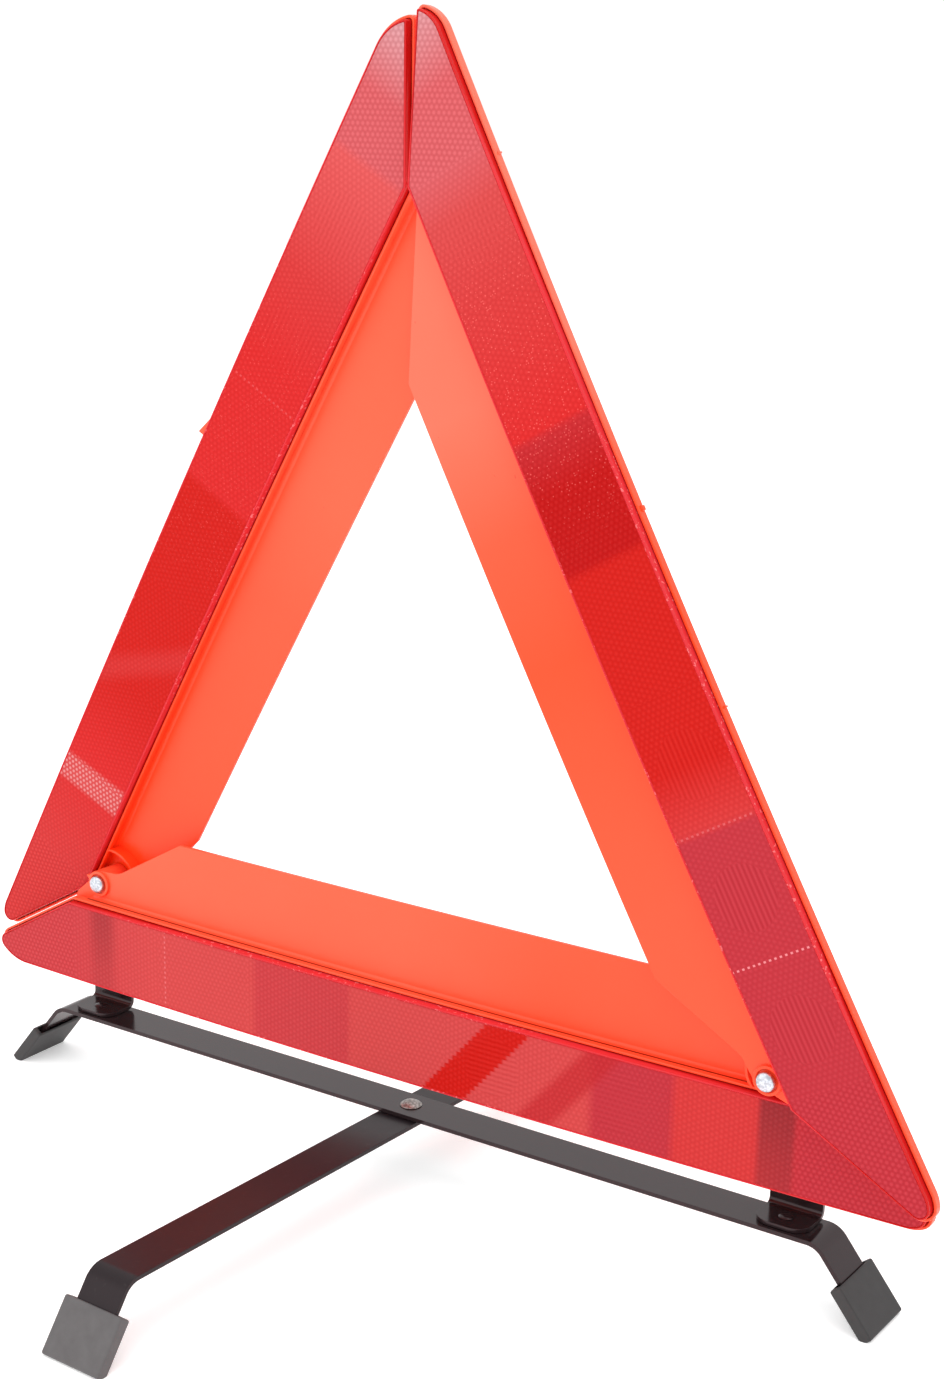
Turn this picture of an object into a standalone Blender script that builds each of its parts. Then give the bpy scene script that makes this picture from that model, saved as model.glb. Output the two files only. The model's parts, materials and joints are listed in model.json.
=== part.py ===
"""Folding roadside warning triangle on a crossed strip-steel stand.

Units are metres in the scene; the driving dimensions below are millimetres.
The object faces -Y, stands on Z = 0 and its stand rivet is on the Z axis.
Two side arms fold down over the bottom arm and the lower leg swings in line
with the upper one.
"""

import math

import bmesh
import bpy
from mathutils import Matrix, Vector

MM = 0.001
ROOT3 = math.sqrt(3.0)

# --- triangle, measured outward from its centre --------------------------------
CENTRE_Z = 171.5         # height of the triangle's centre above the ground
PANEL_Y = -2.4           # front face of the bottom arm's panel
OPENING_LINE = 62.7      # inner edge of an arm
RIM_LINE = 94.4          # inner face of the raised rim
OUTER_LINE = 129.9       # outer edge of an arm
MITRE_GAP = 0.5          # half the gap between two arms along a mitre

# --- arm section, measured forward from the panel's front face -----------------
PANEL_T = 1.5
RIGHT_PANEL_T = 1.1      # thinner, so the right arm's back clears the left reflector
TRAY_BACK = 2.35
TRAY_FLOOR = 1.2
RIM_FRONT = 5.4
LENS_BACK = 3.85
LENS_FRONT = 8.0
LENS_SLOPE = 1.6         # run of the sloping side above the opening edge
LENS_EDGE = 0.3          # small chamfer round the front face
BORDER_W = 1.1           # smooth border round the prisms
GROOVE_D = 0.4
FACE_DROP = 0.2          # prism field below the border
INNER_WALL = 1.0
OUTER_WALL = 1.8
FIT_GAP = 0.3

# --- corner radii of the outline -----------------------------------------------
APEX_GAP = 0.6           # half the gap between the side arms at the apex
LOWER_CORNER_R = 14.0
BOTTOM_LEFT_R = 21.0     # the bottom arm's left tip is blunter than the others
APEX_RIGHT_R = 14.5
APEX_LEFT_R = 17.5
LOWER_TIP_R = 5.0        # where the rounded tip meets the mitre line
APEX_TIP_R = 2.2
CORNER_MIN = 0.3

# --- pivots --------------------------------------------------------------------
PIVOT_U = 152.0
PIVOT_V = 87.76
RIGHT_OFFSET = 11.2      # right arm's panel in front of the bottom one, at the pivot
LEFT_OFFSET = 12.0       # left arm's panel behind the bottom one, at the pivot
APEX_RISE = 347.5        # height of the sharp apex above the pivots
BOSS_R = 5.3
BOSS_GAP = 0.6           # the arms rock a little on their bosses as they turn
RING_H = 1.2
SHANK_R = 2.0
HOLE_R = 2.35
HEAD_R = 3.4
WASHER_R = 4.6
WASHER_T = 1.0
LUG_NECK = ((-12.2, -7.0), (-9.6, -5.9))  # from the pivot: where a lug leaves the mitre line
RIB_R_LEFT = 12.0
RIB_R_RIGHT = 10.6
RIB_T = 1.1

# --- small features on the outer walls, by place along the arm --------------------
NUBS = ((-34.5, 0.8), (33.5, 1.4), (156.0, 0.8))  # centre, half length
NUB_H = 0.9
HOOK_START = -49.0
HOOK_END = -37.5
HOOK_H = 2.9

# --- stand ---------------------------------------------------------------------
STRIP_W = 17.3
STRIP_T = 1.6
CROSS_TOP = 27.8
CROSS_BEND = 171.0
CROSS_ANGLE = 51.0
SWING_TOP = 25.9
SWING_BEND = 157.0
SWING_ANGLE = 54.5
SWING_REST = 2.5         # degrees the lower leg stands off square
BEND_R = 7.0
END_RISE = 3.2           # end of the steel above the ground, inside its boot
LEG_HOLE_R = 2.8
FOOT_W = 25.6
FOOT_T = 4.6
FOOT_COVER = 16.0
FOOT_TOE = 4.2

# --- brackets ------------------------------------------------------------------
BRACKET_X = 155.5
BRACKET_W = 20.0
BRACKET_T = 1.5
BRACKET_TOP = 56.5
BRACKET_TOE = 7.0        # reach of its foot in front of the stand's middle
BRACKET_CORNER = 6.0
BRACKET_BEND = 2.0
PAD_R = 6.0
PAD_BACK = 6.85
FRAME_RIVET_Z = 49.5
RIVET_BORE = 1.95


def clear_scene():
    for ob in list(bpy.data.objects):
        bpy.data.objects.remove(ob, do_unlink=True)


def new_collection(name):
    coll = bpy.data.collections.new(name)
    bpy.context.scene.collection.children.link(coll)
    return coll


def material(name, rgb, metallic, roughness):
    mat = bpy.data.materials.new(name)
    mat.use_nodes = True
    bsdf = mat.node_tree.nodes["Principled BSDF"]
    bsdf.inputs["Base Color"].default_value = (rgb[0], rgb[1], rgb[2], 1.0)
    bsdf.inputs["Metallic"].default_value = metallic
    bsdf.inputs["Roughness"].default_value = roughness
    mat.diffuse_color = (rgb[0], rgb[1], rgb[2], 1.0)
    return mat


def evaluated_mesh(ob):
    bpy.context.view_layer.update()
    graph = bpy.context.evaluated_depsgraph_get()
    return bpy.data.meshes.new_from_object(ob.evaluated_get(graph))


def link(ob):
    PARTS.objects.link(ob)
    return ob


def weld(mesh, dist=0.00001, flatten=False):
    bm = bmesh.new()
    bm.from_mesh(mesh)
    bmesh.ops.remove_doubles(bm, verts=bm.verts, dist=dist)
    if flatten:
        bmesh.ops.dissolve_limit(bm, angle_limit=math.radians(0.05), verts=bm.verts,
                                 edges=bm.edges)
    bmesh.ops.recalc_face_normals(bm, faces=bm.faces)
    bm.to_mesh(mesh)
    bm.free()


def plate(name, loops, back, front):
    """Solid sheet from closed XZ outlines, between two forward distances."""
    curve = bpy.data.curves.new(name, "CURVE")
    curve.dimensions = "2D"
    curve.fill_mode = "BOTH"
    curve.extrude = 0.5 * (front - back) * MM
    for loop in loops:
        spline = curve.splines.new("POLY")
        spline.points.add(len(loop) - 1)
        for point, (x, z) in zip(spline.points, loop):
            point.co = (x * MM, z * MM, 0.0, 1.0)
        spline.use_cyclic_u = True
    ob = link(bpy.data.objects.new(name, curve))
    ob.rotation_euler = (math.radians(90.0), 0.0, 0.0)
    ob.location = (0.0, -0.5 * (front + back) * MM, 0.0)
    mesh = evaluated_mesh(ob)
    mesh.transform(ob.matrix_world)
    bpy.data.objects.remove(ob, do_unlink=True)
    weld(mesh, flatten=len(loops) == 1)
    return link(bpy.data.objects.new(name, mesh))


def rod(name, centre, axis, radius, start, end, segments=32):
    """Cylinder along an axis through a point, between two distances."""
    mesh = bpy.data.meshes.new(name)
    bm = bmesh.new()
    bmesh.ops.create_cone(bm, cap_ends=True, segments=segments, radius1=radius * MM,
                          radius2=radius * MM, depth=(end - start) * MM)
    bm.to_mesh(mesh)
    bm.free()
    turn = Vector((0.0, 0.0, 1.0)).rotation_difference(axis).to_matrix().to_4x4()
    mid = centre + axis * (0.5 * (start + end))
    mesh.transform(Matrix.Translation(mid * MM) @ turn)
    return link(bpy.data.objects.new(name, mesh))


def box(name, low, high):
    mesh = bpy.data.meshes.new(name)
    bm = bmesh.new()
    bmesh.ops.create_cube(bm, size=1.0)
    size = [(b - a) * MM for a, b in zip(low, high)]
    mid = [0.5 * (a + b) * MM for a, b in zip(low, high)]
    bm.transform(Matrix.Translation(mid) @ Matrix.Diagonal((size[0], size[1], size[2], 1.0)))
    bm.to_mesh(mesh)
    bm.free()
    return link(bpy.data.objects.new(name, mesh))


def combine(target, tool, operation):
    mod = target.modifiers.new("Boolean", "BOOLEAN")
    mod.operation = operation
    mod.solver = "EXACT"
    mod.object = tool
    mesh = evaluated_mesh(target)
    target.modifiers.remove(mod)
    target.data = mesh
    bpy.data.objects.remove(tool, do_unlink=True)
    return target


def join(target, *tools):
    for tool in tools:
        combine(target, tool, "UNION")
    return target


def cut(target, *tools):
    for tool in tools:
        combine(target, tool, "DIFFERENCE")
    return target


def turned(name, profile, centre, axis, segments=32):
    """Solid of revolution from (radius, distance) points, outer side first."""
    mesh = bpy.data.meshes.new(name)
    verts = [(r * MM, 0.0, d * MM) for r, d in profile]
    edges = [(i, i + 1) for i in range(len(verts) - 1)]
    mesh.from_pydata(verts, edges, [])
    ob = link(bpy.data.objects.new(name, mesh))
    screw = ob.modifiers.new("Screw", "SCREW")
    screw.axis = "Z"
    screw.steps = segments
    screw.render_steps = segments
    screw.use_merge_vertices = True
    screw.merge_threshold = 0.00001
    made = evaluated_mesh(ob)
    weld(made)
    turn = Vector((0.0, 0.0, 1.0)).rotation_difference(axis).to_matrix().to_4x4()
    made.transform(Matrix.Translation(centre * MM) @ turn)
    ob.modifiers.clear()
    ob.data = made
    return ob


def loft(name, rings):
    """Closed solid through rings of equal point count, each an XZ loop and a Y."""
    count = len(rings[0][0])
    verts = []
    for loop, y in rings:
        verts += [(x * MM, y * MM, z * MM) for x, z in loop]
    faces = [list(range(count))]
    for k in range(len(rings) - 1):
        for i in range(count):
            j = (i + 1) % count
            a, b = k * count, (k + 1) * count
            faces.append([a + i, a + j, b + j, b + i])
    last = (len(rings) - 1) * count
    faces.append([last + i for i in reversed(range(count))])
    mesh = bpy.data.meshes.new(name)
    mesh.from_pydata(verts, [], faces)
    weld(mesh, 0.0000001)
    return link(bpy.data.objects.new(name, mesh))


def soften(ob, width, segments=2, angle=35.0):
    """Rounded edges, applied."""
    mod = ob.modifiers.new("Bevel", "BEVEL")
    mod.width = width * MM
    mod.segments = segments
    mod.limit_method = "ANGLE"
    mod.angle_limit = math.radians(angle)
    mesh = evaluated_mesh(ob)
    ob.modifiers.clear()
    ob.data = mesh
    return ob


def dress(ob, mat, smooth=35.0):
    ob.data.materials.clear()
    ob.data.materials.append(mat)
    ob.data.shade_smooth()
    ob.data.set_sharp_from_angle(angle=math.radians(smooth))
    return ob


# --- outlines in arm coordinates: u along the arm, v outward ---------------------
def band_loop(inner_gap, outer_gap, low_end, high_end, steps=8):
    """Mitred band with a rounded tip at each end; an end is (gap, radius, corner).

    The tip's centre lies on the mitre line, and the corner where tip and mitre meet
    is rounded by a small circle that touches both.
    """
    v_in = RIM_LINE + inner_gap
    mitre = math.radians(30.0)
    points = []
    for side, (gap, radius, corner) in ((1.0, high_end), (-1.0, low_end)):
        cu = ROOT3 * (OUTER_LINE - radius)
        cv = OUTER_LINE - radius
        r = radius - outer_gap
        q = max(corner - outer_gap, CORNER_MIN)
        rise = gap + q
        run = math.sqrt((r - q) ** 2 - rise ** 2)
        fu = cu + run * math.cos(mitre) - rise * math.sin(mitre)
        fv = cv + run * math.sin(mitre) + rise * math.cos(mitre)
        bend = math.degrees(mitre + math.asin(rise / (r - q)))
        end = [(ROOT3 * v_in - 2.0 * gap, v_in)]
        end += around(fu, fv, q, -60.0, bend, 4)[:-1]
        end += around(cu, cv, r, bend, 90.0, steps)
        end = [(side * u, v) for u, v in end]
        points += end if side > 0 else list(reversed(end))
    return points


def around(cu, cv, radius, first, last, steps):
    return [(cu + radius * math.cos(math.radians(first + (last - first) * k / steps)),
             cv + radius * math.sin(math.radians(first + (last - first) * k / steps)))
            for k in range(steps + 1)]


def apex_end(v_in, v_out):
    """Either layer's end at the apex: straight along the mitre."""
    return [(ROOT3 * v - 2.0 * APEX_GAP, v) for v in (v_in, v_out)]


def lug_end(v_in, v_out):
    """Front layer's end: follows the mitre, then narrows to the rivet boss."""
    tip = around(PIVOT_U, PIVOT_V, BOSS_R, -95.0, 60.0, 10)
    neck = [(PIVOT_U + du, PIVOT_V + dv) for du, dv in LUG_NECK]
    return [(ROOT3 * v_in, v_in)] + neck + tip + [(PIVOT_U + 3.5, v_out)]


def rib_end(v_in, v_out, radius):
    """Back layer's end: runs under the lug to a disc about the pivot."""
    tip = around(PIVOT_U, PIVOT_V, radius, -60.0, 25.0, 9)
    return [(ROOT3 * v_in + 1.5, v_in), (ROOT3 * v_in + 9.0, v_in + 2.0)] + tip + [
        (PIVOT_U + 7.4, v_out)]


def panel_loop(low, high):
    """Panel outline from the two end outlines, the low one mirrored."""
    return high + [(-u, v) for u, v in reversed(low)]


TURNS = {"bottom": 0.0, "right": 120.0, "left": -120.0}


def to_arm(loop, arm, origin):
    """Arm coordinates to XZ, turned about the triangle's centre."""
    a = math.radians(TURNS[arm])
    ca, sa = math.cos(a), math.sin(a)
    ox, oz = origin
    return [(u * ca + v * sa - ox, u * sa - v * ca - oz) for u, v in loop]


def arm_frame(name, arm, origin, low_kind, high_kind, low_corner, high_corner,
              panel_t=PANEL_T):
    """Orange frame of one arm: flat panel, tray for the reflector and raised rim."""
    ends = {"apex": apex_end(OPENING_LINE, RIM_LINE + 0.5),
            "lug": lug_end(OPENING_LINE, RIM_LINE + 0.5),
            "rib": rib_end(OPENING_LINE, RIM_LINE + 0.5,
                           (RIB_R_LEFT if arm == "left" else RIB_R_RIGHT) + 1.0)}
    body = plate(name, [to_arm(panel_loop(ends[low_kind], ends[high_kind]), arm, origin)],
                 -panel_t, 0.0)
    tray = plate("tray", [to_arm(band_loop(0.0, 0.0, low_corner, high_corner), arm, origin)],
                 TRAY_BACK, RIM_FRONT)
    low_in = (low_corner[0] + INNER_WALL, *low_corner[1:])
    high_in = (high_corner[0] + INNER_WALL, *high_corner[1:])
    pocket = plate("pocket", [to_arm(band_loop(INNER_WALL, OUTER_WALL, low_in, high_in),
                                     arm, origin)],
                   TRAY_BACK + TRAY_FLOOR, RIM_FRONT + 2.0)
    cut(tray, pocket)
    u_low = ROOT3 * RIM_LINE - 2.0 * low_corner[0] - 1.0
    u_high = ROOT3 * RIM_LINE - 2.0 * high_corner[0] - 1.0
    if low_kind == "lug":
        u_low = PIVOT_U + 4.6
    if high_kind == "lug":
        u_high = PIVOT_U + 4.6
    if low_kind == "rib":
        u_low = PIVOT_U + 9.6
    if high_kind == "rib":
        u_high = PIVOT_U + 9.6
    wall = plate("wall", [to_arm([(-u_low, RIM_LINE + 0.2), (u_high, RIM_LINE + 0.2),
                                  (u_high, RIM_LINE + INNER_WALL - 0.2),
                                  (-u_low, RIM_LINE + INNER_WALL - 0.2)], arm, origin)],
                 -panel_t + 0.2, TRAY_BACK + 0.6)
    join(tray, wall)
    join(body, tray)
    return body


def arc_rib(arm, origin, side, radius):
    """Curved rib on the panel about a pivot, as high as the rim."""
    limit = [(side * u, v) for u, v in ((PIVOT_U - 30.0, 40.0), (PIVOT_U + 30.0, 40.0),
                                        (PIVOT_U + 30.0, RIM_LINE + 0.3),
                                        (PIVOT_U - 30.0, RIM_LINE + 0.3))]
    circles = []
    for r in (radius + RIB_T, radius):
        circle = around(PIVOT_U, PIVOT_V, r, 180.0, -180.0, 48)[:-1]
        circles.append(to_arm([(side * u, v) for u, v in circle], arm, origin))
    rib = plate("rib", circles, -0.6, RIM_FRONT - 0.1)
    keep = plate("keep", [to_arm(limit, arm, origin)], -2.0, RIM_FRONT + 2.0)
    return combine(rib, keep, "INTERSECT")


def lens(name, arm, origin, low_corner, high_corner):
    """Red reflector: bevelled face with a groove inside its smooth border."""
    border = LENS_EDGE + 0.2
    groove = border + BORDER_W
    steps = ((LENS_BACK, 0.0, 0.0),
             (RIM_FRONT, 0.0, 0.0),
             (LENS_FRONT - LENS_EDGE, LENS_SLOPE, LENS_EDGE),
             (LENS_FRONT, LENS_SLOPE + 0.2, border),
             (LENS_FRONT, LENS_SLOPE + 0.2 + BORDER_W, groove),
             (LENS_FRONT - GROOVE_D, LENS_SLOPE + 0.4 + BORDER_W, groove + 0.2),
             (LENS_FRONT - FACE_DROP, LENS_SLOPE + 0.8 + BORDER_W, groove + 0.6))
    rings = []
    for forward, inner, outer in steps:
        low = (low_corner[0] + INNER_WALL + FIT_GAP + outer, *low_corner[1:])
        high = (high_corner[0] + INNER_WALL + FIT_GAP + outer, *high_corner[1:])
        loop = band_loop(INNER_WALL + FIT_GAP + inner, OUTER_WALL + FIT_GAP + outer, low, high)
        rings.append((to_arm(loop, arm, origin), -forward))
    return loft(name, rings)


def place(ob, origin, y, lean=0.0):
    ob.location = (origin[0] * MM, y * MM, (origin[1] + CENTRE_Z) * MM)
    ob.rotation_euler = (lean, 0.0, 0.0)
    return ob


def strip(name, top, bend, angle):
    """Flat strip whose ends turn down in a smooth bend, centred on X."""
    a = math.radians(angle)
    mid_r = BEND_R + 0.5 * STRIP_T
    lead = mid_r * math.tan(0.5 * a)
    z_mid = top - 0.5 * STRIP_T
    reach = (z_mid - END_RISE) / math.sin(a)
    path = [(0.0, z_mid), (bend - lead, z_mid)]
    for k in range(1, 9):
        t = a * k / 8.0
        path.append((bend - lead + mid_r * math.sin(t), z_mid - mid_r * (1.0 - math.cos(t))))
    path.append((bend + reach * math.cos(a), z_mid - reach * math.sin(a)))
    full = [(-x, z) for x, z in reversed(path[1:])] + path
    left, right = [], []
    for i, (x, z) in enumerate(full):
        x0, z0 = full[max(i - 1, 0)]
        x1, z1 = full[min(i + 1, len(full) - 1)]
        d = Vector((x1 - x0, z1 - z0)).normalized()
        half = 0.5 * STRIP_T
        left.append((x - d.y * half, z + d.x * half))
        right.append((x + d.y * half, z - d.x * half))
    return plate(name, [left + list(reversed(right))], -0.5 * STRIP_W, 0.5 * STRIP_W)


def foot(name, top, bend, angle, side):
    """Rubber boot on a strip's end, with a pocket for it and a flat sole."""
    a = math.radians(angle)
    z_mid = top - 0.5 * STRIP_T
    reach = (z_mid - END_RISE) / math.sin(a)
    end = Vector((bend + reach * math.cos(a), z_mid - reach * math.sin(a)))
    along = Vector((math.cos(a), -math.sin(a)))
    out = Vector((math.sin(a), math.cos(a)))

    def section(start, stop, half):
        pts = [end + along * start + out * half, end + along * stop + out * half,
               end + along * stop - out * half, end + along * start - out * half]
        return [(side * p.x, p.y) for p in pts]

    body = plate(name, [section(-FOOT_COVER, FOOT_TOE, 0.5 * FOOT_T)], -0.5 * FOOT_W, 0.5 * FOOT_W)
    soften(body, 0.7)
    pocket = plate("pocket", [section(-FOOT_COVER - 2.0, FIT_GAP, 0.5 * STRIP_T + 0.25)],
                   -0.5 * STRIP_W - 0.3, 0.5 * STRIP_W + 0.3)
    mouth = plate("mouth", [section(-FOOT_COVER - 2.0, -FOOT_COVER + 2.2, 0.5 * STRIP_T + 0.6)],
                  -0.5 * STRIP_W - 2.4, 0.5 * STRIP_W + 2.4)
    ground = box("ground", (-400.0, -60.0, -40.0), (400.0, 60.0, 0.0))
    cut(body, ground, pocket, mouth)
    return body


clear_scene()
PARTS = new_collection("warning_triangle")

ORANGE = material("orange_plastic", (1.0, 0.16, 0.06), 0.0, 0.38)
RED = material("red_reflector", (0.62, 0.01, 0.015), 0.0, 0.12)
BLACK = material("black_steel", (0.02, 0.019, 0.019), 0.0, 0.22)
RUBBER = material("black_rubber", (0.055, 0.052, 0.05), 0.0, 0.6)
ZINC = material("zinc_rivet", (0.62, 0.64, 0.67), 1.0, 0.3)
DARK = material("dark_rivet", (0.28, 0.25, 0.24), 1.0, 0.35)

LOWER = (MITRE_GAP, LOWER_CORNER_R, LOWER_TIP_R)
BOTTOM_LEFT = (MITRE_GAP, BOTTOM_LEFT_R, LOWER_TIP_R)
RIGHT_LEAN = -math.atan(RIGHT_OFFSET / APEX_RISE)
LEFT_LEAN = math.atan(LEFT_OFFSET / APEX_RISE)
RIGHT_AT = (PIVOT_U, -PIVOT_V)
LEFT_AT = (-PIVOT_U, -PIVOT_V)
RIGHT_Y = PANEL_Y - RIGHT_OFFSET
LEFT_Y = PANEL_Y + LEFT_OFFSET
FORWARD = Vector((0.0, -1.0, 0.0))
BACKWARD = Vector((0.0, 1.0, 0.0))
UP = Vector((0.0, 0.0, 1.0))
ZERO = Vector((0.0, 0.0, 0.0))
RIGHT_PIN = Vector((PIVOT_U, RIGHT_Y, CENTRE_Z - PIVOT_V))
LEFT_PIN = Vector((-PIVOT_U, LEFT_Y, CENTRE_Z - PIVOT_V))
RIGHT_BOTTOM = RIGHT_PIN - FORWARD * RIGHT_OFFSET
LEFT_BOTTOM = LEFT_PIN + FORWARD * LEFT_OFFSET

# --- bottom arm ----------------------------------------------------------------
bottom = arm_frame("bottom_frame", "bottom", (0.0, 0.0), "lug", "rib", BOTTOM_LEFT, LOWER)
base_at = Vector((0.0, PANEL_Y, CENTRE_Z))
join(bottom, arc_rib("bottom", (0.0, 0.0), 1.0, RIB_R_RIGHT))
join(bottom, rod("boss", RIGHT_BOTTOM - base_at, FORWARD, BOSS_R, -0.8,
                 RIGHT_OFFSET - RIGHT_PANEL_T - BOSS_GAP),
     rod("boss", LEFT_BOTTOM - base_at, FORWARD, BOSS_R, -LEFT_OFFSET + BOSS_GAP, RING_H))
for side in (-1.0, 1.0):
    at = Vector((side * BRACKET_X, 0.0, FRAME_RIVET_Z)) - base_at
    join(bottom, rod("pad", at, BACKWARD, PAD_R, -5.3, PAD_BACK))
    cut(bottom, rod("bore", at, BACKWARD, RIVET_BORE, -4.0, 12.0, 24))
cut(bottom, rod("hole", RIGHT_BOTTOM - base_at, FORWARD, HOLE_R, -9.0, 14.0),
    rod("hole", LEFT_BOTTOM - base_at, FORWARD, HOLE_R, -14.0, 9.0))
place(bottom, (0.0, 0.0), PANEL_Y)
dress(bottom, ORANGE)
bottom_lens = lens("bottom_reflector", "bottom", (0.0, 0.0), BOTTOM_LEFT, LOWER)
place(bottom_lens, (0.0, 0.0), PANEL_Y)
dress(bottom_lens, RED)

# --- right arm, in front ---------------------------------------------------------
RIGHT_APEX = (APEX_GAP, APEX_RIGHT_R, APEX_TIP_R)
right = arm_frame("right_frame", "right", RIGHT_AT, "lug", "apex", LOWER, RIGHT_APEX,
                  RIGHT_PANEL_T)
join(right, rod("boss", ZERO, FORWARD, BOSS_R, -0.6, RING_H))
cut(right, rod("hole", ZERO, FORWARD, HOLE_R, -12.0, 9.0))
for centre_u, half in NUBS:
    root_v = OUTER_LINE - 0.8
    top_v = OUTER_LINE + NUB_H
    tab = to_arm([(centre_u - half, root_v), (centre_u + half, root_v),
                  (centre_u + half - 0.6, top_v), (centre_u - half + 0.6, top_v)],
                 "right", RIGHT_AT)
    join(right, plate("nub", [tab], TRAY_BACK + 0.4, TRAY_BACK + 1.9))
place(right, RIGHT_AT, RIGHT_Y, RIGHT_LEAN)
dress(right, ORANGE)
right_lens = lens("right_reflector", "right", RIGHT_AT, LOWER, RIGHT_APEX)
place(right_lens, RIGHT_AT, RIGHT_Y, RIGHT_LEAN)
dress(right_lens, RED)

# --- left arm, behind --------------------------------------------------------------
LEFT_APEX = (APEX_GAP, APEX_LEFT_R, APEX_TIP_R)
left = arm_frame("left_frame", "left", LEFT_AT, "apex", "rib", LEFT_APEX, LOWER)
join(left, arc_rib("left", LEFT_AT, 1.0, RIB_R_LEFT))
cut(left, rod("hole", ZERO, FORWARD, HOLE_R, -12.0, 12.0))
hook = to_arm([(HOOK_START, OUTER_LINE - 0.8), (HOOK_END, OUTER_LINE - 0.8),
               (HOOK_END, OUTER_LINE + HOOK_H)], "left", LEFT_AT)
join(left, plate("hook", [hook], TRAY_BACK + 0.3, TRAY_BACK + 2.3))
place(left, LEFT_AT, LEFT_Y, LEFT_LEAN)
dress(left, ORANGE)
left_lens = lens("left_reflector", "left", LEFT_AT, LEFT_APEX, LOWER)
place(left_lens, LEFT_AT, LEFT_Y, LEFT_LEAN)
dress(left_lens, RED)


# --- pivot rivets and their washers ---------------------------------------------
def rivet(name, pin, axis, front, back):
    """Domed head in front, shank and a formed head behind."""
    dome = [(HEAD_R, front), (HEAD_R, front + 0.7)]
    for k in range(1, 6):
        a = math.radians(90.0 * k / 5.0)
        dome.append((HEAD_R - 0.9 * (1.0 - math.cos(a)) - 0.5 * HEAD_R * (k / 5.0) ** 2,
                     front + 0.7 + 0.9 * math.sin(a)))
    dome.append((0.0, front + 1.75))
    profile = list(reversed(dome)) + [(SHANK_R, front), (SHANK_R, back), (3.1, back),
                                      (2.9, back - 0.8), (1.9, back - 1.4), (0.0, back - 1.6)]
    return dress(turned(name, profile, pin, axis), ZINC)


rivet("right_pivot_rivet", RIGHT_PIN, FORWARD, RING_H + 0.5, -RIGHT_OFFSET - PANEL_T - 1.6)
rivet("left_pivot_rivet", LEFT_BOTTOM, FORWARD, RING_H + 0.3, -LEFT_OFFSET - PANEL_T - 1.9)


def ring(name, centre, axis, inner, outer, start, end):
    """Flat washer between two distances along its axis."""
    profile = [(outer, end), (outer, start), (inner, start), (inner, end), (outer, end)]
    return turned(name, profile, centre, axis)


for name, at, play in (("right_pivot_washer", RIGHT_BOTTOM, 0.3), ("left_pivot_washer", LEFT_PIN, 0.6)):
    front = -PANEL_T - play
    dress(ring(name, at, FORWARD, HOLE_R, WASHER_R, front - WASHER_T, front), ZINC)

# --- stand -----------------------------------------------------------------------
cross = strip("cross_leg", CROSS_TOP, CROSS_BEND, CROSS_ANGLE)
cut(cross, rod("hole", Vector((0.0, 0.0, CROSS_TOP)), UP, LEG_HOLE_R, -5.0, 5.0))
for side in (-1.0, 1.0):
    at = Vector((side * BRACKET_X, 0.0, CROSS_TOP))
    cut(cross, rod("hole", at, UP, RIVET_BORE, -5.0, 5.0, 24))
dress(cross, BLACK)
swing = strip("swing_leg", SWING_TOP, SWING_BEND, SWING_ANGLE)
cut(swing, rod("hole", Vector((0.0, 0.0, SWING_TOP)), UP, LEG_HOLE_R, -5.0, 5.0))
swing.rotation_euler = (0.0, 0.0, math.radians(90.0 - SWING_REST))
dress(swing, BLACK)

LEG_HEAD = [(0.0, 1.9), (1.3, 1.8), (2.5, 1.45), (3.5, 0.9), (4.1, 0.35), (4.2, 0.15)]
under = CROSS_TOP - SWING_TOP + STRIP_T + 1.5
LEG_TAIL = [(2.4, 0.15), (2.4, -under), (4.0, -under), (3.7, -under - 0.8),
            (2.2, -under - 1.3), (0.0, -under - 1.4)]
dress(turned("leg_rivet", LEG_HEAD + LEG_TAIL, Vector((0.0, 0.0, CROSS_TOP)), UP), DARK)
below = Vector((0.0, 0.0, SWING_TOP - STRIP_T))
dress(ring("leg_washer", below, UP, LEG_HOLE_R, 6.5, -1.2, -0.2), DARK)

for name, side in (("right_foot", 1.0), ("left_foot", -1.0)):
    dress(foot(name, CROSS_TOP, CROSS_BEND, CROSS_ANGLE, side), RUBBER)
for name, side in (("rear_foot", 1.0), ("front_foot", -1.0)):
    boot = foot(name, SWING_TOP, SWING_BEND, SWING_ANGLE, side)
    boot.rotation_euler = swing.rotation_euler
    dress(boot, RUBBER)


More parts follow.
